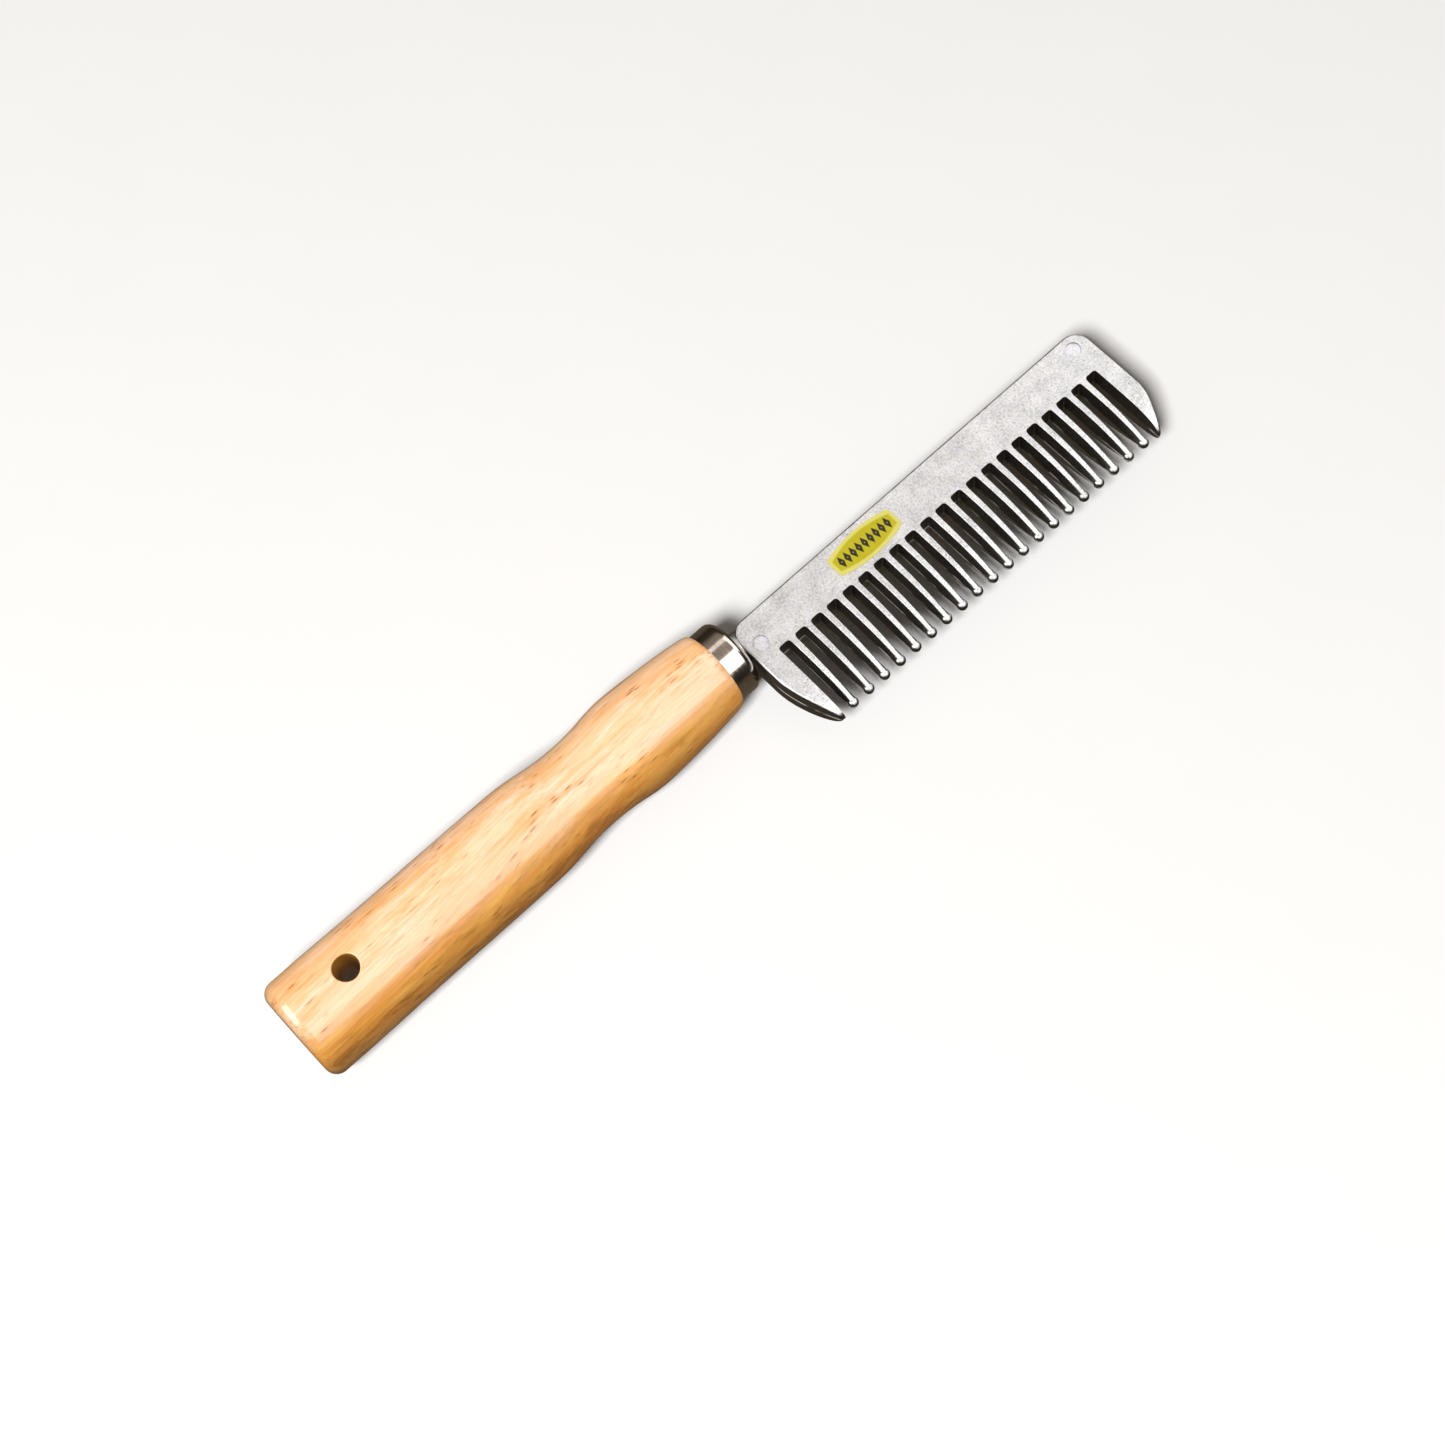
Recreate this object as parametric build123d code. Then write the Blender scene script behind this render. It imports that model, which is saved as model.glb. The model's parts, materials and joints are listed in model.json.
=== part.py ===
from build123d import *
import math
import os

# A horse's mane comb: a die-cast aluminium comb head on a short neck, a steel
# tang cast into that neck, a turned hardwood handle glued on the tang, and a
# plated steel ferrule over the handle's tenon.  All sizes are millimetres.
#
# The pieces are drawn about the handle's own axis first: X runs from the
# handle to the far end of the comb with X = 0 at the comb's near end, the
# teeth point along -Y, and the comb's mid-plane is Z = 0.  At the end all of
# them are moved together, so the origin is under the middle of the whole
# comb, on the surface that the handle lies on.

# ---------------------------------------------------------------- comb head
COMB_LENGTH = 101.6        # four inches, end to end
SPINE_TOP_Y = 3.1          # upper edge of the solid spine
ROOT_Y = -6.9              # roots of the teeth
TIP_Y = -26.3              # lowest point of the round tooth tips
SPINE_DEPTH = 7.5          # thickness of the spine, face to face
TAPER_START_Y = -8.0       # a tooth is as thick as the spine above this line
TAPER_POWER = 2.3          # how late the teeth thin out towards their tips
TIP_R = 1.2                # radius of a tooth's ball tip
GUARD_TIP_Y = -26.4        # lowest point of the two end guards
# half of an end guard's thickness at heights down to its round tip
GUARD_SIDE = ((-14.0, 3.72), (-18.0, 3.58), (-21.5, 3.20), (-24.0, 2.50), (-25.7, 1.50))
GAP_COUNT = 21
PITCH = 4.45               # from tooth to tooth
FIRST_GAP_X = 6.5          # middle of the gap beside the handle-end guard
GAP_FACE_W = 3.02          # width of a gap at the spine's face
GAP_MID_W = 2.18           # width of a gap at the mid-plane, where it is narrowest
ROOT_R = 0.32              # rounding in the corners of a gap's root, at the mid-plane
TOOTH_TIP_FACE_W = 0.90    # the flat on a tooth's face, near its tip
TOOTH_TIP_MID_W = 2.3      # a tooth's full width, near its tip
TOOTH_EDGE_R = 0.16        # rounding of a tooth's four long edges
CORNER_R = 3.9             # rounding of the spine's two outer corners, in plan
RIM_R = 0.55               # rounding of the casting's outer edges
MARK_R = 1.7               # shallow round marks that the mould's pins leave
MARK_DEPTH = 0.20
MARKS = ((3.35, -3.5), (97.3, -0.35))
NECK_R = 3.6               # round neck between the comb and the ferrule
NECK_LENGTH = 2.0
NECK_FLARE_L = 5.2         # the neck runs on into the spine's round corner
NECK_FLARE_R = 2.95

# --------------------------------------------------------------------- tang
TANG_R = 2.5
TANG_IN_COMB = 13.0        # length cast into the spine
TANG_IN_HANDLE_X = -46.0   # the tang's point
TANG_POINT_L = 5.0
GROOVE_DEPTH = 0.45
GROOVE_W = 2.0
COMB_GROOVES = (4.2, 8.6)              # these lock the casting on the tang
HANDLE_GROOVES = (-14.0, -21.0, -28.0, -35.0)   # these lock the glue

# ------------------------------------------------------------------- handle
BUTT_X = -118.8
SHOULDER_X = -6.7          # where the wood stops and the bare ferrule begins
BUTT_CORNER_R = 2.9
# distance along the axis and radius of the turned outline, butt to shoulder
OUTLINE = (
    (-115.9, 11.50), (-108.0, 11.50), (-97.5, 11.38), (-84.0, 11.32),
    (-70.0, 11.30), (-61.0, 11.24), (-56.0, 11.06), (-52.4, 10.64),
    (-49.2, 10.18), (-46.2, 9.93), (-43.0, 9.86), (-39.6, 9.99),
    (-36.2, 10.34), (-32.9, 10.82), (-29.8, 11.04), (-26.6, 10.98),
    (-22.0, 10.74), (-17.0, 10.38), (-12.5, 9.98), (-9.4, 9.62),
)
SHOULDER_R = 8.62          # radius of the wood's front edge, at the ferrule
TENON_R = 7.65
TENON_FRONT_X = -2.0
BORE_R = 3.1               # hole that the tang is glued into
BORE_END_X = -47.5
HANG_HOLE_X = -103.2
HANG_HOLE_R = 2.75
HANG_HOLE_RIM = 0.35

# ------------------------------------------------------------------ ferrule
FERRULE_R = 8.5
FERRULE_WALL = FERRULE_R - TENON_R
FERRULE_BACK_X = SHOULDER_X
FERRULE_FRONT_X = -0.95
FERRULE_ROUND_R = 1.9      # rounding at its closed front end
FERRULE_HOLE_R = 3.75      # the neck passes through here

# -------------------------------------------------------------------- label
LABEL_X = 34.2
LABEL_Y = -2.05
LABEL_L = 17.5
LABEL_H = 7.2
LABEL_END_H = 4.6
LABEL_CORNER_R = 1.1
LABEL_T = 0.10

HALF = SPINE_DEPTH / 2
BALL_Y = TIP_Y + TIP_R


def half_depth(y):
    """Half of a tooth's thickness at height y."""
    if y >= TAPER_START_Y:
        return HALF
    t = (TAPER_START_Y - y) / (TAPER_START_Y - BALL_Y)
    return HALF - (HALF - TIP_R) * t ** TAPER_POWER


def revolve_x(points):
    """A solid of revolution about X from (x, radius) corners."""
    wire = Polyline(*[(x, r, 0) for x, r in points], close=True)
    return revolve(make_face(wire), axis=Axis.X)


def keep_solid(shape):
    """The one solid in a result, without any wrapper."""
    solids = shape.solids()
    assert len(solids) == 1, len(solids)
    return solids[0]


# ==================================================================== tang
def rod_profile():
    pts = [(TANG_IN_COMB, 0)]
    pts += [(TANG_IN_COMB, TANG_R - 0.5), (TANG_IN_COMB - 0.5, TANG_R)]
    for g in sorted(COMB_GROOVES + HANDLE_GROOVES, reverse=True):
        a, b = g + GROOVE_W / 2, g - GROOVE_W / 2
        pts += [(a, TANG_R), (a - 0.4, TANG_R - GROOVE_DEPTH),
                (b + 0.4, TANG_R - GROOVE_DEPTH), (b, TANG_R)]
    pts += [(TANG_IN_HANDLE_X + TANG_POINT_L, TANG_R),
            (TANG_IN_HANDLE_X + 0.4, 1.0), (TANG_IN_HANDLE_X, 0.6),
            (TANG_IN_HANDLE_X, 0)]
    return pts


tang = keep_solid(revolve_x(rod_profile()))

# =============================================================== comb head
# The side profile of the spine and the two end guards, run along the comb.
# The guards stay thick for longer than the teeth and end in a round edge.
front_edge = Spline((TAPER_START_Y, HALF), *GUARD_SIDE, (GUARD_TIP_Y, 0),
                    tangents=((-1, 0), (0, -1)))
back_edge = Spline((TAPER_START_Y, -HALF), *[(y, -z) for y, z in GUARD_SIDE],
                   (GUARD_TIP_Y, 0), tangents=((-1, 0), (0, 1)))
top_box = Polyline((TAPER_START_Y, -HALF), (SPINE_TOP_Y, -HALF),
                   (SPINE_TOP_Y, HALF), (TAPER_START_Y, HALF))
profile = make_face([front_edge, back_edge, top_box])
bar = extrude(Plane.YZ * profile, COMB_LENGTH)

# The outline in plan: round outer corners, and two end guards whose outer
# edges slant in to a tooth's width.
g0 = FIRST_GAP_X - GAP_FACE_W / 2
g1 = FIRST_GAP_X + (GAP_COUNT - 1) * PITCH + GAP_FACE_W / 2
L = COMB_LENGTH
NEAR_END = (3.94, -25.52)
NEAR_DIR = (0.46, -0.888)
FAR_END = (97.72, -25.59)
FAR_DIR = (-0.50, -0.866)
OVER = 3.0                 # the plan's walls run on past the tips
near_out = (NEAR_END[0] + NEAR_DIR[0] * OVER, NEAR_END[1] + NEAR_DIR[1] * OVER)
far_out = (FAR_END[0] + FAR_DIR[0] * OVER, FAR_END[1] + FAR_DIR[1] * OVER)
near_guard = Spline((0, -11.0), (1.26, -18.6), NEAR_END, near_out,
                    tangents=((0, -1), NEAR_DIR))
far_guard = Spline((L, -15.0), (L - 1.62, -21.0), FAR_END, far_out,
                   tangents=((0, -1), FAR_DIR))
plan = make_face([
    Line((CORNER_R, SPINE_TOP_Y), (L - CORNER_R, SPINE_TOP_Y)),
    ThreePointArc((L - CORNER_R, SPINE_TOP_Y),
                  (L - CORNER_R + CORNER_R * math.sqrt(0.5), SPINE_TOP_Y - CORNER_R + CORNER_R * math.sqrt(0.5)),
                  (L, SPINE_TOP_Y - CORNER_R)),
    Line((L, SPINE_TOP_Y - CORNER_R), (L, -15.0)),
    far_guard,
    Line(far_out, near_out),
    near_guard,
    Line((0, -11.0), (0, SPINE_TOP_Y - CORNER_R)),
    ThreePointArc((0, SPINE_TOP_Y - CORNER_R),
                  (CORNER_R - CORNER_R * math.sqrt(0.5), SPINE_TOP_Y - CORNER_R + CORNER_R * math.sqrt(0.5)),
                  (CORNER_R, SPINE_TOP_Y)),
])
slab = extrude(Pos(0, 0, -HALF - 1) * plan, SPINE_DEPTH + 2)
body = bar & slab

# Round the outer rim: every edge where the two faces and the round lower edge
# meet the outline's walls.
rim = []
for e in body.edges():
    t = e.tangent_at(0.5)
    c = e.position_at(0.5)
    if abs(t.X) > 0.999 and c.Y < SPINE_TOP_Y - 0.01:
        continue           # a seam that runs along the comb on a smooth face
    if abs(t.Z) > 0.999 and e.length > SPINE_DEPTH * 0.6:
        continue           # a seam in a wall
    rim.append(e)
print("rim edges", len(rim))
body = fillet(rim, RIM_R)

# Clear the space between the guards, with the draft of the mould's two halves.
d = (GAP_FACE_W - GAP_MID_W) / 2
k = d / HALF
DRAFT = math.degrees(math.atan2(d, HALF))
root_mid = ROOT_Y - d      # the root stands lower at the mid-plane
stub_y = root_mid - ROOT_R - 0.25
zz = HALF + 1.5
hexa = make_face(Polyline(
    (g0 + d, 0), (g0 - k * 1.5, zz), (g1 + k * 1.5, zz), (g1 - d, 0),
    (g1 + k * 1.5, -zz), (g0 - k * 1.5, -zz), close=True))
clear = extrude(Pos(0, stub_y, 0) * (Plane.XZ * hexa), 30)
body = body - clear

# The closed end of each gap, with round corners and the same draft, which
# leaves the root of each tooth standing.
gap_plan = make_face(Polyline(
    (-GAP_MID_W / 2, -12), (GAP_MID_W / 2, -12),
    (GAP_MID_W / 2, root_mid), (-GAP_MID_W / 2, root_mid), close=True))
gap_plan = fillet([v for v in gap_plan.vertices() if v.Y > -10], ROOT_R)
gap_up = extrude(gap_plan, zz, taper=-DRAFT)
gap = gap_up + mirror(gap_up, about=Plane.XY)
print("gap", gap.volume, len(gap.solids()))
gaps = [Pos(FIRST_GAP_X + i * PITCH, 0, 0) * gap for i in range(GAP_COUNT)]
body = body.cut(*gaps) if hasattr(body, "cut") else body - gaps
print("with gaps", len(body.solids()), body.is_valid)

# One tooth: a six-sided bar whose width and thickness shrink to a ball.
def tooth_section(xc, y, wf, wm, h, r):
    f = make_face(Polyline((wf / 2, h), (wm / 2, 0), (wf / 2, -h),
                           (-wf / 2, -h), (-wm / 2, 0), (-wf / 2, h), close=True))
    f = fillet(f.vertices(), r)
    pl = Plane(origin=(xc, y, 0), x_dir=(1, 0, 0), z_dir=(0, -1, 0))
    return pl * f


def tooth(xc):
    root_wf = PITCH - GAP_FACE_W - 0.02
    root_wm = PITCH - GAP_MID_W - 0.02
    secs = []
    y_top = ROOT_Y + 0.4
    stations = (0.0, 0.15, 0.35, 0.55, 0.72, 0.87, 1.0)
    for t in stations:
        y = y_top + (BALL_Y - y_top) * t
        q = max(0.0, (ROOT_Y - y) / (ROOT_Y - BALL_Y))
        wf = root_wf + (TOOTH_TIP_FACE_W - root_wf) * q
        wm = root_wm + (TOOTH_TIP_MID_W - root_wm) * q
        h = half_depth(y)
        r = TOOTH_EDGE_R + 0.26 * q ** 5
        secs.append(tooth_section(xc, y, wf, wm, h - 0.01 * (1 - q), r))
    bar_ = loft(secs)
    ball = Pos(xc, BALL_Y, 0) * Sphere(TIP_R)
    return bar_ + ball


first_tooth = tooth(FIRST_GAP_X + PITCH / 2)
print("tooth", first_tooth.volume, len(first_tooth.solids()))
teeth = [Pos(i * PITCH, 0, 0) * first_tooth for i in range(GAP_COUNT - 1)]
body = body.fuse(*teeth) if hasattr(body, "fuse") else body + teeth
print("head solids", len(body.solids()))

# Shallow round marks of the mould's ejector pins, on both faces.
for mx, my in MARKS:
    for side in (1, -1):
        mark = Pos(mx, my, side * (HALF - MARK_DEPTH / 2 + 0.5)) * Cylinder(MARK_R, MARK_DEPTH + 1.0)
        body = body - mark

# The neck, which narrows into the spine's round corner, and the seat of the
# tang.
neck = revolve_x([
    (NECK_FLARE_L, 0), (NECK_FLARE_L, NECK_FLARE_R), (0.4, NECK_R),
    (-NECK_LENGTH, NECK_R), (-NECK_LENGTH, 0)])
body = body + neck
body = body - tang
comb_head = keep_solid(body)

# ================================================================== handle
corner_c = (BUTT_X + BUTT_CORNER_R, OUTLINE[0][1] - BUTT_CORNER_R)
c45 = BUTT_CORNER_R * math.sqrt(0.5)
butt_line = Line((BUTT_X, 0), (BUTT_X, corner_c[1]))
butt_arc = ThreePointArc((BUTT_X, corner_c[1]),
                         (corner_c[0] - c45, corner_c[1] + c45),
                         (corner_c[0], OUTLINE[0][1]))
outline = Spline(*[(x, r) for x, r in OUTLINE],
                 tangents=((1, 0), (1, -0.13)))
shoulder = Spline(OUTLINE[-1], (-7.35, 9.20), (SHOULDER_X, SHOULDER_R),
                  tangents=((1, -0.13), (0.30, -1)))
front = Polyline((SHOULDER_X, SHOULDER_R), (SHOULDER_X, TENON_R),
                 (TENON_FRONT_X - 0.3, TENON_R), (TENON_FRONT_X, TENON_R - 0.3),
                 (TENON_FRONT_X, BORE_R), (BORE_END_X + 1.2, BORE_R),
                 (BORE_END_X, 0), (BUTT_X, 0))
hp = make_face([butt_line, butt_arc, outline, shoulder, front])
handle = revolve(hp, axis=Axis.X)
hang_hole = Pos(HANG_HOLE_X, 0, 0) * Cylinder(HANG_HOLE_R, 40)
handle = handle - hang_hole
rims = []
for e in handle.edges():
    c = e.position_at(0.5)
    if abs(c.X - HANG_HOLE_X) < HANG_HOLE_R + 0.5 and abs(c.Z) > 9 and e.length < 20:
        rims.append(e)
print("hang hole rims", len(rims), [round(e.length, 2) for e in rims])
handle = fillet(rims, HANG_HOLE_RIM)
handle = keep_solid(handle)

# ================================================================= ferrule
fr = FERRULE_ROUND_R
w = FERRULE_WALL
f45 = math.sqrt(0.5)
outer = [
    Line((FERRULE_BACK_X, FERRULE_R), (FERRULE_FRONT_X - fr, FERRULE_R)),
    ThreePointArc((FERRULE_FRONT_X - fr, FERRULE_R),
                  (FERRULE_FRONT_X - fr + fr * f45, FERRULE_R - fr + fr * f45),
                  (FERRULE_FRONT_X, FERRULE_R - fr)),
    Line((FERRULE_FRONT_X, FERRULE_R - fr), (FERRULE_FRONT_X, FERRULE_HOLE_R)),
    Line((FERRULE_FRONT_X, FERRULE_HOLE_R), (FERRULE_FRONT_X - w, FERRULE_HOLE_R)),
    Line((FERRULE_FRONT_X - w, FERRULE_HOLE_R), (FERRULE_FRONT_X - w, FERRULE_R - fr)),
    ThreePointArc((FERRULE_FRONT_X - w, FERRULE_R - fr),
                  (FERRULE_FRONT_X - fr + (fr - w) * f45, FERRULE_R - fr + (fr - w) * f45),
                  (FERRULE_FRONT_X - fr, FERRULE_R - w)),
    Line((FERRULE_FRONT_X - fr, FERRULE_R - w), (FERRULE_BACK_X, FERRULE_R - w)),
    Line((FERRULE_BACK_X, FERRULE_R - w), (FERRULE_BACK_X, FERRULE_R)),
]
ferrule = keep_solid(revolve(make_face(outer), axis=Axis.X))
# The tenon's front corner is turned to the ferrule's inside shape.
inside = make_face([
    Line((FERRULE_BACK_X - 1, 0), (FERRULE_FRONT_X - w, 0)),
    Line((FERRULE_FRONT_X - w, 0), (FERRULE_FRONT_X - w, FERRULE_R - fr)),
    ThreePointArc((FERRULE_FRONT_X - w, FERRULE_R - fr),
                  (FERRULE_FRONT_X - fr + (fr - w) * f45, FERRULE_R - fr + (fr - w) * f45),
                  (FERRULE_FRONT_X - fr, FERRULE_R - w)),
    Line((FERRULE_FRONT_X - fr, FERRULE_R - w), (FERRULE_BACK_X - 1, FERRULE_R - w)),
    Line((FERRULE_BACK_X - 1, FERRULE_R - w), (FERRULE_BACK_X - 1, 0)),
])
cavity = revolve(inside, axis=Axis.X)
trim = keep_solid(revolve_x([
    (SHOULDER_X, 0), (FERRULE_FRONT_X, 0), (FERRULE_FRONT_X, FERRULE_R + 2),
    (SHOULDER_X, FERRULE_R + 2)])) - cavity
handle = keep_solid(handle - trim)

# ==================================================================== glue
# Hardened resin that fills the bore between the tang and the wood.
glue = revolve_x([
    (TENON_FRONT_X, 0), (TENON_FRONT_X, BORE_R), (BORE_END_X + 1.2, BORE_R),
    (BORE_END_X, 0)]) - tang
glue = keep_solid(glue)

# =================================================================== label
hl, hh, he = LABEL_L / 2, LABEL_H / 2, LABEL_END_H / 2
lab = make_face([
    ThreePointArc((-hl, he), (0, hh), (hl, he)),
    Line((hl, he), (hl, -he)),
    ThreePointArc((hl, -he), (0, -hh), (-hl, -he)),
    Line((-hl, -he), (-hl, he)),
])
lab = fillet(lab.vertices(), LABEL_CORNER_R)
label = keep_solid(Pos(LABEL_X, LABEL_Y, HALF) * extrude(lab, LABEL_T))

# ================================================================== origin
butt_r = max(r for _, r in OUTLINE)
shift = Pos(-(BUTT_X + COMB_LENGTH) / 2, -(GUARD_TIP_Y + butt_r) / 2, butt_r)
nodes = {
    "comb_head": comb_head,
    "tang": tang,
    "handle": handle,
    "ferrule": ferrule,
    "tang_glue": glue,
    "label": label,
}
os.makedirs("parts", exist_ok=True)
lo = [1e9] * 3
hi = [-1e9] * 3
for name, solid in nodes.items():
    placed = shift * solid
    export_step(placed, f"parts/{name}.step")
    b = placed.bounding_box()
    lo = [min(a, c) for a, c in zip(lo, (b.min.X, b.min.Y, b.min.Z))]
    hi = [max(a, c) for a, c in zip(hi, (b.max.X, b.max.Y, b.max.Z))]
    print(name, "volume", round(placed.volume, 1), "valid", placed.is_valid,
          "box", [round(v, 2) for v in (b.min.X, b.min.Y, b.min.Z, b.max.X, b.max.Y, b.max.Z)])
print("overall", [round(v, 3) for v in lo + hi])
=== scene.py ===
import bpy
import json
import math
from mathutils import Matrix, Vector


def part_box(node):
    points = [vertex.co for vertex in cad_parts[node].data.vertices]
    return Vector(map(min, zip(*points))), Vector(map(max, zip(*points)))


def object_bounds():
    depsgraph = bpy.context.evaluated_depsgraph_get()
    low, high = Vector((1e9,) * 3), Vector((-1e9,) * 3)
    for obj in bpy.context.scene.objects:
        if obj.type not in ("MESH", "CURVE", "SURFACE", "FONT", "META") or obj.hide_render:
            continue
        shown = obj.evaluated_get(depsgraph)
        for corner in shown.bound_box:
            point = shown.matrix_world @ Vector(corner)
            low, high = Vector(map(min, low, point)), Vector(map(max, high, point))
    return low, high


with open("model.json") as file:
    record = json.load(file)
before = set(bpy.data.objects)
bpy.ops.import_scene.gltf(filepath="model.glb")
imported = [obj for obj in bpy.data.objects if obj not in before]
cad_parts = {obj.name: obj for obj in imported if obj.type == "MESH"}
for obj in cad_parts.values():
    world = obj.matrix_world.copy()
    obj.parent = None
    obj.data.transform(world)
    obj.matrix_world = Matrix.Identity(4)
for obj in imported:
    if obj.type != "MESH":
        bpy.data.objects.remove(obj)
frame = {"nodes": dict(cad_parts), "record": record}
cad_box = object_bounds()
NODES = frame["nodes"]


# ------------------------------------------------------------------ helpers
class Mat:
    """A small wrapper that builds a node material."""

    def __init__(self, name):
        self.m = bpy.data.materials.new(name)
        self.m.use_nodes = True
        self.t = self.m.node_tree
        self.t.nodes.clear()
        self.out = self.t.nodes.new("ShaderNodeOutputMaterial")
        self.bsdf = self.t.nodes.new("ShaderNodeBsdfPrincipled")
        self.t.links.new(self.bsdf.outputs[0], self.out.inputs[0])
        self.pos = self.t.nodes.new("ShaderNodeTexCoord").outputs["Object"]

    def put(self, sock, value):
        if hasattr(value, "is_output"):
            self.t.links.new(value, sock)
        else:
            sock.default_value = value

    def set(self, **kw):
        for k, v in kw.items():
            self.put(self.bsdf.inputs[k.replace("_", " ")], v)

    def math(self, op, a, b=None, c=None, clamp=False):
        n = self.t.nodes.new("ShaderNodeMath")
        n.operation = op
        n.use_clamp = clamp
        self.put(n.inputs[0], a)
        if b is not None:
            self.put(n.inputs[1], b)
        if c is not None:
            self.put(n.inputs[2], c)
        return n.outputs[0]

    def vmath(self, op, a, b=None):
        n = self.t.nodes.new("ShaderNodeVectorMath")
        n.operation = op
        self.put(n.inputs[0], a)
        if b is not None:
            self.put(n.inputs[1], b)
        return n.outputs["Value"] if op in ("LENGTH", "DOT_PRODUCT", "DISTANCE") else n.outputs[0]

    def map(self, vec, loc=(0, 0, 0), rot=(0, 0, 0), scale=(1, 1, 1)):
        n = self.t.nodes.new("ShaderNodeMapping")
        n.inputs["Location"].default_value = loc
        n.inputs["Rotation"].default_value = rot
        n.inputs["Scale"].default_value = scale
        self.put(n.inputs[0], vec)
        return n.outputs[0]

    def noise(self, vec, scale, detail=2.0, rough=0.5, distortion=0.0, colour=False):
        n = self.t.nodes.new("ShaderNodeTexNoise")
        self.put(n.inputs["Vector"], vec)
        n.inputs["Scale"].default_value = scale
        n.inputs["Detail"].default_value = detail
        n.inputs["Roughness"].default_value = rough
        n.inputs["Distortion"].default_value = distortion
        return n.outputs["Color" if colour else "Fac"]

    def voronoi(self, vec, scale, feature="F1", randomness=1.0, out="Distance"):
        n = self.t.nodes.new("ShaderNodeTexVoronoi")
        n.feature = feature
        self.put(n.inputs["Vector"], vec)
        n.inputs["Scale"].default_value = scale
        n.inputs["Randomness"].default_value = randomness
        return n.outputs[out]

    def range(self, v, a, b, c=0.0, d=1.0, smooth=True):
        n = self.t.nodes.new("ShaderNodeMapRange")
        n.interpolation_type = "SMOOTHSTEP" if smooth else "LINEAR"
        self.put(n.inputs["Value"], v)
        n.inputs["From Min"].default_value = a
        n.inputs["From Max"].default_value = b
        n.inputs["To Min"].default_value = c
        n.inputs["To Max"].default_value = d
        return n.outputs[0]

    def ramp(self, v, stops):
        n = self.t.nodes.new("ShaderNodeValToRGB")
        cr = n.color_ramp
        while len(cr.elements) < len(stops):
            cr.elements.new(0.5)
        for e, (p, c) in zip(cr.elements, stops):
            e.position = p
            e.color = (*c, 1)
        self.put(n.inputs[0], v)
        return n.outputs[0]

    def mix(self, fac, a, b, mode="MIX"):
        n = self.t.nodes.new("ShaderNodeMix")
        n.data_type = "RGBA"
        n.blend_type = mode
        self.put(n.inputs[0], fac)
        for s, v in ((n.inputs[6], a), (n.inputs[7], b)):
            self.put(s, (*v, 1) if isinstance(v, tuple) and len(v) == 3 else v)
        return n.outputs[2]

    def sep(self, vec):
        n = self.t.nodes.new("ShaderNodeSeparateXYZ")
        self.put(n.inputs[0], vec)
        return n.outputs

    def join(self, x, y, z):
        n = self.t.nodes.new("ShaderNodeCombineXYZ")
        for s, v in zip(n.inputs, (x, y, z)):
            self.put(s, v)
        return n.outputs[0]

    def bump(self, height, strength=0.3, distance=0.0001, normal=None):
        n = self.t.nodes.new("ShaderNodeBump")
        n.inputs["Strength"].default_value = strength
        n.inputs["Distance"].default_value = distance
        self.put(n.inputs["Height"], height)
        if normal is not None:
            self.put(n.inputs["Normal"], normal)
        return n.outputs[0]


def lin(r, g, b):
    """An 8-bit sRGB colour as linear values."""
    out = []
    for v in (r, g, b):
        v /= 255
        out.append(v / 12.92 if v <= 0.04045 else ((v + 0.055) / 1.055) ** 2.4)
    return tuple(out)


handle_lo, handle_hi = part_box("handle")
head_lo, head_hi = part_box("comb_head")
ferr_lo, ferr_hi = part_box("ferrule")
label_lo, label_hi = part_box("label")
AXIS_Y = (ferr_lo.y + ferr_hi.y) / 2
AXIS_Z = (ferr_lo.z + ferr_hi.z) / 2
# in millimetres: the hang hole along the handle, and the mould's pin marks
HOLE_X = frame["record"]["mounts"][0]["pos_m"][0] * 1000
PIN_MARKS = ((head_lo.x * 1000 + 5.35, AXIS_Y * 1000 - 3.5), (head_hi.x * 1000 - 4.3, AXIS_Y * 1000 - 0.35))


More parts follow.
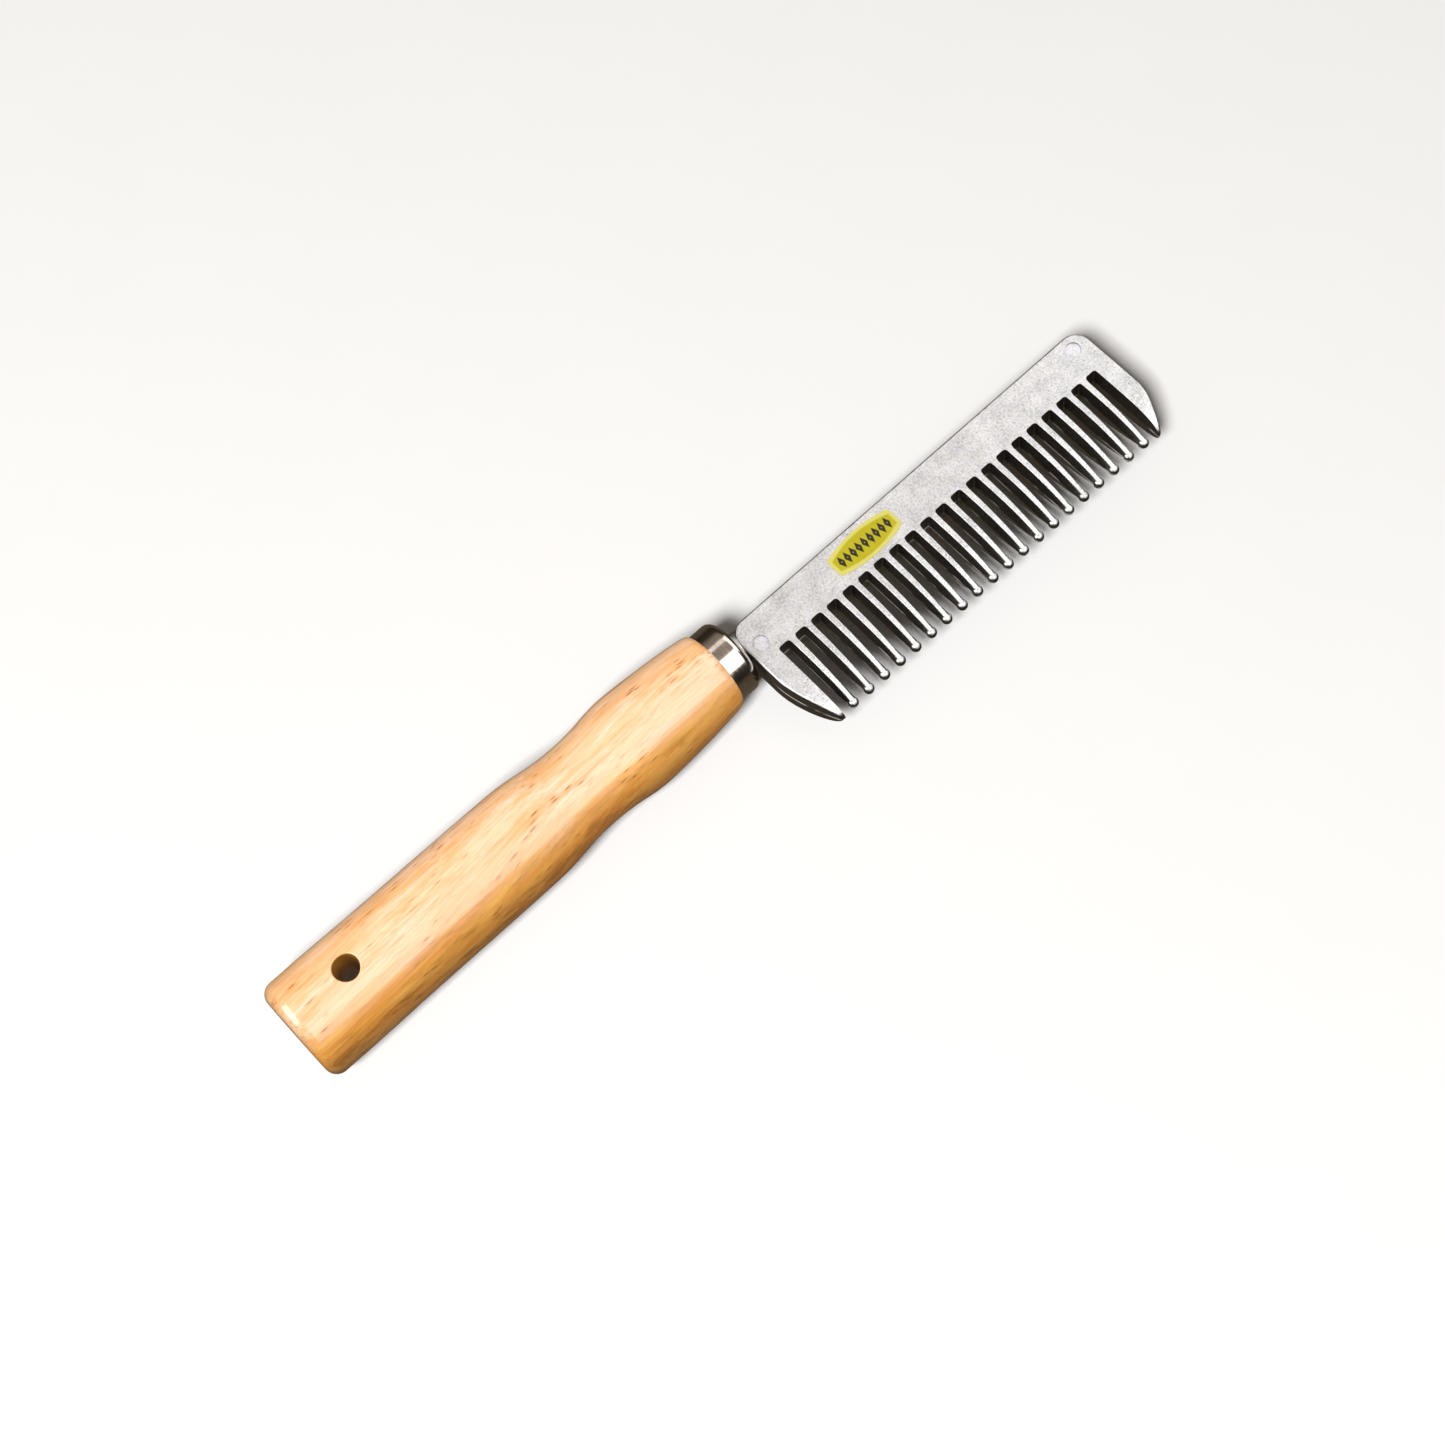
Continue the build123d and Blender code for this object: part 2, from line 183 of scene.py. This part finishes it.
# ---------------------------------------------------------------- materials
def wood():
    k = Mat("lacquered_wood")
    # millimetres from the handle's axis
    p = k.map(k.pos, loc=(0, -AXIS_Y * 1000, -AXIS_Z * 1000), scale=(1000, 1000, 1000))
    px, py, pz = k.sep(p)[:3]
    # the grain runs along the handle, a few degrees off its axis, and wanders
    wander = k.noise(k.map(p, scale=(0.016, 0.045, 0.045)), 1.0, 2.0, 0.5, colour=True)
    wander = k.vmath("SUBTRACT", wander, (0.5, 0.5, 0.5))
    wander = k.vmath("MULTIPLY", wander, (0.0, 7.0, 7.0))
    g = k.vmath("ADD", k.map(p, rot=(0, 0.03, -0.060)), wander)
    bands = k.noise(k.map(g, scale=(0.011, 0.24, 0.24)), 1.0, 3.0, 0.55)
    fibre = k.noise(k.map(g, scale=(0.045, 1.25, 1.25)), 1.0, 4.0, 0.68)
    fine = k.noise(k.map(g, scale=(0.16, 4.2, 4.2)), 1.0, 2.0, 0.6)
    blotch = k.noise(k.map(g, scale=(0.055, 0.15, 0.15), loc=(13, 4, 7)), 1.0, 3.0, 0.6)
    tone = k.math("ADD", k.math("MULTIPLY", bands, 0.42), k.math("MULTIPLY", fibre, 0.34))
    tone = k.math("ADD", tone, k.math("MULTIPLY", blotch, 0.24))
    pale = k.ramp(tone, [
        (0.34, lin(222, 156, 86)),
        (0.44, lin(234, 180, 124)),
        (0.54, lin(241, 200, 162)),
        (0.66, lin(246, 216, 190)),
    ])
    shaded_amber = k.ramp(tone, [
        (0.34, lin(206, 120, 34)),
        (0.44, lin(243, 160, 62)),
        (0.56, lin(253, 188, 90)),
        (0.68, lin(255, 206, 122)),
    ])
    # the wood grades to a deeper, darker amber on the comb's toothed (-Y) side: painted shade for the side of the
    # handle turned from the light, broken up by the grain
    shade_side = k.math("ADD", k.math("MULTIPLY", py, -0.087), k.math("MULTIPLY", k.math("SUBTRACT", blotch, 0.5), 0.75))
    shade_side = k.math("ADD", shade_side, k.math("MULTIPLY", k.math("SUBTRACT", fibre, 0.5), 0.5))
    base = k.mix(k.range(shade_side, 0.28, 0.84), pale, shaded_amber)
    # broken orange streaks along the grain
    streak = k.noise(k.map(g, scale=(0.035, 0.62, 0.62), loc=(21, 3, 11)), 1.0, 4.0, 0.65)
    base = k.mix(k.range(streak, 0.52, 0.70, 0.0, 0.50), base, lin(232, 158, 82))
    base = k.mix(k.range(fine, 0.36, 0.74, 0.0, 0.30), base, lin(206, 132, 62), "MIX")
    # darker brown mottling in the grain, laid only low on the -Y side, where it also paints shade
    mottle_and_shade = k.noise(k.map(g, scale=(0.085, 0.46, 0.46), loc=(5, 2, 8)), 1.0, 4.0, 0.7)
    low = k.range(k.math("MULTIPLY", py, -0.087), 0.50, 1.02)
    mottle_and_shade = k.math("MULTIPLY", k.range(mottle_and_shade, 0.46, 0.70), low)
    base = k.mix(k.math("MULTIPLY", mottle_and_shade, 0.70), base, lin(130, 74, 18))
    # painted shade: a flat warm brown darkening along the lowest -Y edge of the handle
    base = k.mix(k.range(k.math("MULTIPLY", py, -0.087), 0.78, 1.0, 0.0, 0.30), base, lin(166, 98, 24))
    # short pores, darker, with an orange halo
    cell = k.map(g, scale=(0.20, 1.1, 1.1))
    dist = k.voronoi(cell, 1.0, randomness=1.0)
    pick = k.noise(k.map(g, scale=(0.06, 0.30, 0.30), loc=(3, 9, 1)), 1.0, 3.0, 0.65)
    pore = k.math("MULTIPLY", k.range(dist, 0.10, 0.27, 1.0, 0.0), k.range(pick, 0.47, 0.60))
    halo = k.math("MULTIPLY", k.range(dist, 0.12, 0.58, 1.0, 0.0), k.range(pick, 0.45, 0.66))
    base = k.mix(k.math("MULTIPLY", halo, 0.55), base, lin(214, 134, 58))
    base = k.mix(k.math("MULTIPLY", pore, k.range(streak, 0.35, 0.6, 0.35, 0.80)), base, lin(138, 80, 32))
    # the hang hole is bare, dirty wood
    hx = k.math("SUBTRACT", px, HOLE_X)
    away = k.math("SQRT", k.math("ADD", k.math("MULTIPLY", hx, hx), k.math("MULTIPLY", py, py)))
    inside = k.range(away, 2.85, 3.05, 1.0, 0.0)
    bare = k.mix(fine, lin(150, 98, 20), lin(190, 132, 40))
    base = k.mix(inside, base, bare)
    k.set(Base_Color=base, Roughness=k.range(fibre, 0.3, 0.7, 0.42, 0.58),
          Coat_Weight=1.0, Coat_Roughness=0.11, Coat_IOR=1.55)
    soft = k.noise(k.map(p, scale=(0.10, 0.22, 0.22)), 1.0, 2.0, 0.5)
    n1 = k.bump(fibre, 0.25, 0.00004)
    n2 = k.bump(k.math("MULTIPLY", pore, -1.0), 0.5, 0.00006, n1)
    lac = k.math("ADD", k.math("MULTIPLY", soft, 1.0), k.math("MULTIPLY", fine, 0.05))
    k.set(Normal=n2, Coat_Normal=k.bump(lac, 0.40, 0.00030))
    return k.m


def cast_aluminium():
    k = Mat("cast_aluminium")
    p = k.map(k.pos, scale=(1000, 1000, 1000))
    px, py, pz = k.sep(p)[:3]
    nrm = k.t.nodes.new("ShaderNodeTexCoord").outputs["Normal"]
    nz = k.math("ABSOLUTE", k.sep(nrm)[2])
    grain = k.noise(p, 2.1, 4.0, 0.72)
    speck = k.voronoi(k.vmath("ADD", p, k.vmath("MULTIPLY", k.noise(p, 1.4, 2.0, 0.5, colour=True), (0.8, 0.8, 0.8))), 1.25, randomness=1.0)
    cloud = k.noise(p, 0.20, 4.0, 0.62)
    hue = k.noise(k.map(p, loc=(31, 7, 3)), 0.55, 3.0, 0.6)
    v = k.math("ADD", k.math("MULTIPLY", grain, 0.62), k.math("MULTIPLY", cloud, 0.38))
    col = k.ramp(v, [(0.36, lin(172, 172, 174)), (0.47, lin(208, 208, 207)), (0.58, lin(230, 229, 228)), (0.70, lin(246, 245, 245))])
    col = k.mix(k.range(speck, 0.02, 0.36, 0.55, 0.0), col, lin(154, 154, 158))
    col = k.mix(k.range(hue, 0.55, 0.72, 0.0, 0.35), col, lin(222, 218, 238))
    col = k.mix(k.range(hue, 0.45, 0.28, 0.0, 0.30), col, lin(226, 228, 214))
    # prints of the mould's round ejector pins
    for mx, my in PIN_MARKS:
        dx, dy = k.math("SUBTRACT", px, mx), k.math("SUBTRACT", py, my)
        r = k.math("SQRT", k.math("ADD", k.math("MULTIPLY", dx, dx), k.math("MULTIPLY", dy, dy)))
        r = k.math("ADD", r, k.math("MULTIPLY", k.math("SUBTRACT", grain, 0.5), 0.35))
        disc = k.range(r, 1.55, 1.75, 1.0, 0.0)
        ring = k.math("MULTIPLY", k.range(r, 1.20, 1.62), k.range(r, 1.62, 1.95, 1.0, 0.0))
        col = k.mix(k.math("MULTIPLY", disc, k.range(hue, 0.40, 0.62, 0.10, 0.55)), col, lin(236, 234, 250))
        col = k.mix(k.math("MULTIPLY", ring, k.range(hue, 0.36, 0.60, 0.60, 0.05)), col, lin(158, 158, 172))
    # walls that stand along the mould's draw are duller and darker than the tumbled faces: partly the as-cast
    # finish, partly painted shade for the gaps between the teeth; the mould's parting line shows along them
    wall = k.range(nz, 0.50, 0.86, 1.0, 0.0)
    cast_tone_and_gap_shade = k.mix(k.noise(p, 1.1, 3.0, 0.6), lin(84, 79, 74), lin(136, 131, 126))
    col = k.mix(wall, col, cast_tone_and_gap_shade)
    off = k.math("ABSOLUTE", k.math("SUBTRACT", pz, AXIS_Z * 1000))
    # the parting line is painted as a pale, less metallic strip: partly the burr of the flash, partly a painted
    # highlight where the ridge catches the light
    parting_glint = k.math("MULTIPLY", k.range(off, 0.12, 0.42, 1.0, 0.0), k.range(k.noise(k.map(p, scale=(0.30, 0.13, 0.30)), 1.0, 2.0, 0.5), 0.47, 0.60))
    parting_glint = k.math("MULTIPLY", parting_glint, wall)
    col = k.mix(k.math("MULTIPLY", parting_glint, 0.9), col, lin(236, 234, 232))
    rough = k.range(grain, 0.3, 0.7, 0.38, 0.54, smooth=False)
    rough = k.math("ADD", k.math("MULTIPLY", rough, k.math("SUBTRACT", 1.0, k.math("MULTIPLY", wall, 0.20))), k.math("MULTIPLY", parting_glint, 0.25))
    k.set(Base_Color=col, Metallic=k.math("SUBTRACT", 1.0, k.math("MULTIPLY", parting_glint, 0.75)), Roughness=rough)
    h = k.math("ADD", k.math("MULTIPLY", grain, 0.6), k.math("MULTIPLY", speck, 0.4))
    k.set(Normal=k.bump(h, 0.65, 0.00012))
    return k.m


def plated_ferrule():
    k = Mat("ferrule_plating")
    p = k.map(k.pos, loc=(0, -AXIS_Y * 1000, -AXIS_Z * 1000), scale=(1000, 1000, 1000))
    x, y, z = k.sep(p)[:3]
    lines = k.noise(k.join(k.math("MULTIPLY", x, 9.0), k.math("MULTIPLY", k.math("ARCTAN2", y, z), 0.7), 0.0), 1.0, 3.0, 0.6)
    cloud = k.noise(p, 0.5, 3.0, 0.6)
    col = k.ramp(k.math("ADD", k.math("MULTIPLY", lines, 0.45), k.math("MULTIPLY", cloud, 0.55)),
                 [(0.34, lin(184, 174, 162)), (0.66, lin(216, 207, 196))])
    dull = k.noise(k.map(p, scale=(1.6, 0.5, 0.5), loc=(4, 4, 4)), 1.0, 3.0, 0.6)
    rough = k.math("ADD", k.range(lines, 0.3, 0.7, 0.10, 0.17, smooth=False), k.range(dull, 0.5, 0.75, 0.0, 0.12))
    k.set(Base_Color=col, Metallic=1.0, Roughness=rough)
    k.set(Normal=k.bump(lines, 0.10, 0.00002))
    return k.m


def sticker():
    k = Mat("sticker")
    cx, cy = (label_lo.x + label_hi.x) / 2 * 1000, (label_lo.y + label_hi.y) / 2 * 1000
    hl, hh = (label_hi.x - label_lo.x) / 2 * 1000, (label_hi.y - label_lo.y) / 2 * 1000
    p = k.map(k.pos, loc=(-cx, -cy, 0), scale=(1000, 1000, 1000))
    x, y = k.sep(p)[:2]
    # distance in from the barrel's curved edge
    sag = (hh - 2.3) / (hl * hl)
    edge = k.math("SUBTRACT", hh, k.math("MULTIPLY", k.math("MULTIPLY", x, x), sag * 1.35))
    inset = k.math("MINIMUM", k.math("SUBTRACT", edge, k.math("ABSOLUTE", y)),
                   k.math("SUBTRACT", hl, k.math("ABSOLUTE", x)))
    field = k.range(inset, 0.55, 0.95)
    ink = k.noise(p, 0.45, 3.0, 0.6)
    olive = k.mix(ink, lin(150, 138, 0), lin(178, 166, 4))
    col = k.mix(field, lin(190, 183, 92), olive)
    # a plain row of upright lozenges, each with a pale dot
    step = 1.62
    u = k.math("MULTIPLY", k.math("SUBTRACT", k.math("FRACT", k.math("ADD", k.math("DIVIDE", x, step), 0.5)), 0.5), step)
    au, ay = k.math("ABSOLUTE", u), k.math("ABSOLUTE", y)
    loz = k.math("ADD", k.math("DIVIDE", au, 0.70), k.math("DIVIDE", ay, 1.62))
    row = k.range(k.math("ABSOLUTE", x), step * 4.5 - 0.05, step * 4.5, 1.0, 0.0)
    mark = k.math("MULTIPLY", k.range(loz, 0.92, 1.06, 1.0, 0.0), row)
    col = k.mix(mark, col, lin(34, 32, 10))
    dot = k.range(k.math("ADD", k.math("MULTIPLY", au, au), k.math("MULTIPLY", ay, ay)), 0.012, 0.040, 1.0, 0.0)
    col = k.mix(k.math("MULTIPLY", k.math("MULTIPLY", dot, row), 0.7), col, lin(150, 142, 30))
    k.set(Base_Color=col, Roughness=0.55, Specular_IOR_Level=0.3, Coat_Weight=0.06, Coat_Roughness=0.30)
    k.set(Normal=k.bump(k.noise(p, 1.1, 2.0, 0.5), 0.2, 0.00004))
    return k.m


def plain_steel():
    k = Mat("tang_steel")
    p = k.map(k.pos, scale=(1000, 1000, 1000))
    n = k.noise(k.map(p, scale=(0.4, 3, 3)), 1.0, 3.0, 0.6)
    k.set(Base_Color=k.ramp(n, [(0.3, lin(120, 118, 116)), (0.7, lin(170, 168, 166))]),
          Metallic=1.0, Roughness=0.42, Normal=k.bump(n, 0.3, 0.00003))
    return k.m


def resin():
    k = Mat("resin_glue")
    p = k.map(k.pos, scale=(1000, 1000, 1000))
    n = k.noise(p, 1.3, 3.0, 0.6)
    k.set(Base_Color=k.ramp(n, [(0.3, lin(150, 120, 60)), (0.7, lin(190, 155, 90))]),
          Roughness=0.35, Normal=k.bump(n, 0.3, 0.00005))
    return k.m


def use(node, material, slot):
    o = NODES[node]
    o.data.materials.clear()
    o.data.materials.append(material)
    for poly in o.data.polygons:
        poly.material_index = 0
    return o


use("handle", wood(), "lacquered_wood")
use("comb_head", cast_aluminium(), "cast_aluminium")
use("ferrule", plated_ferrule(), "ferrule_plating")
use("label", sticker(), "sticker")
use("tang", plain_steel(), "tang_steel")
use("tang_glue", resin(), "resin_glue")

# -------------------------------------------------------------------- stage
bpy.ops.mesh.primitive_plane_add(size=6.0, location=(0, 0, min(cad_box[0][2], 0.0)))
floor = bpy.context.object
floor.name = "floor"
fm = Mat("pale_floor")
fn = fm.noise(fm.pos, 40.0, 3.0, 0.5)
fm.set(Base_Color=fm.ramp(fn, [(0.3, (0.498, 0.498, 0.498)), (0.7, (0.502, 0.502, 0.502))]), Roughness=0.8)
floor.data.materials.append(fm.m)
# The object is lit by the lamps and the room, as on a stand well clear of any
# wall, and not by light thrown back up from the floor.
floor.visible_diffuse = False
floor.visible_glossy = False
floor.visible_transmission = False

world = bpy.data.worlds.new("studio")
bpy.context.scene.world = world
world.use_nodes = True
wt = world.node_tree
bg = wt.nodes["Background"]
tc = wt.nodes.new("ShaderNodeTexCoord")
sx = wt.nodes.new("ShaderNodeSeparateXYZ")
wt.links.new(tc.outputs["Generated"], sx.inputs[0])
up = wt.nodes.new("ShaderNodeMath")
up.operation = "MULTIPLY_ADD"
up.inputs[1].default_value = 0.5
up.inputs[2].default_value = 0.5
wt.links.new(sx.outputs[2], up.inputs[0])
wr = wt.nodes.new("ShaderNodeValToRGB")
ROOM = [(0.0, (0.14, 0.115, 0.085)), (0.38, (0.10, 0.08, 0.055)), (0.50, (0.022, 0.018, 0.013)),
        (0.68, (0.05, 0.043, 0.034)), (0.80, (0.30, 0.26, 0.225)), (1.0, (0.40, 0.35, 0.32))]
while len(wr.color_ramp.elements) < len(ROOM):
    wr.color_ramp.elements.new(0.5)
for e, (at, c) in zip(wr.color_ramp.elements, ROOM):
    e.position = at
    e.color = (*c, 1)
wt.links.new(up.outputs[0], wr.inputs[0])
wt.links.new(wr.outputs[0], bg.inputs[0])
bg.inputs[1].default_value = 1.0


def lamp_group(name, state):
    """A list of what a lamp lights: only the floor, or everything but the floor."""
    c = bpy.data.collections.new(name)
    c.objects.link(floor)
    c.collection_objects[0].light_linking.link_state = state
    return c


FLOOR_ONLY = lamp_group("lights_floor_only", "INCLUDE")
NOT_FLOOR = lamp_group("lights_all_but_floor", "EXCLUDE")


def area(name, centre, target, size_x, size_y, radiance, colour=(1, 1, 1), group=None):
    """A rectangular soft box of a stated brightness."""
    d = bpy.data.lights.new(name, "AREA")
    d.shape = "RECTANGLE"
    d.size, d.size_y = size_x, size_y
    d.energy = radiance * math.pi * size_x * size_y
    d.color = colour
    o = bpy.data.objects.new(name, d)
    bpy.context.scene.collection.objects.link(o)
    o.location = centre
    z = (Vector(centre) - Vector(target)).normalized()
    x = Vector((1, 0, 0))
    if abs(z.dot(x)) > 0.6:
        x = Vector((0, 1, 0))
    x = (x - z * x.dot(z)).normalized()
    y = z.cross(x)
    o.rotation_euler = Matrix((x, y, z)).transposed().to_euler()
    if group is not None:
        o.light_linking.receiver_collection = group
    return o


def polar(x, deg, dist):
    """A place above the object, deg from upright, towards -Y if deg is positive."""
    a = math.radians(deg)
    return (x, -dist * math.sin(a), dist * math.cos(a))


area("key", polar(0.14, 34, 1.0), (0, 0, 0), 1.2, 0.84, 2.6, (0.97, 0.98, 1.0), group=NOT_FLOOR)
area("strip", polar(0.10, -29, 1.1), (0, 0, 0), 1.2, 0.24, 1.05, (1.0, 0.93, 0.92), group=NOT_FLOOR)
area("back_light", (-0.85, 0.45, 0.75), (0, 0, 0), 0.9, 0.9, 6.2, (0.97, 0.98, 1.0), group=NOT_FLOOR)
area("end_light", (0.95, 0.20, 0.80), (0, 0, 0), 1.1, 0.9, 1.75, (0.94, 0.97, 1.0), group=NOT_FLOOR)
area("floor_light", (-1.02, -0.60, 1.86), (0, 0, 0), 0.5, 0.5, 126.0, (1.0, 0.995, 0.985), group=FLOOR_ONLY)

# ------------------------------------------------------------------- camera
cam_data = bpy.data.cameras.new("camera")
cam = bpy.data.objects.new("camera", cam_data)
bpy.context.scene.collection.objects.link(cam)
cam_data.sensor_width = 36.0
cam_data.lens = 64.79
cx = Vector((0.73320799, -0.67658938, -0.06806504))
cy = Vector((0.64800271, 0.66484844, 0.37157642))
cz = Vector((-0.20615172, -0.31654913, 0.92590395))
loc = Vector((-0.12282 + 0.0086, -0.17770 + AXIS_Y, 0.49143 + AXIS_Z))
m = Matrix.Identity(4)
for i in range(3):
    m[i][0], m[i][1], m[i][2], m[i][3] = cx[i], cy[i], cz[i], loc[i]
cam.matrix_world = m
bpy.context.scene.camera = cam
bpy.context.scene.view_settings.view_transform = "Standard"
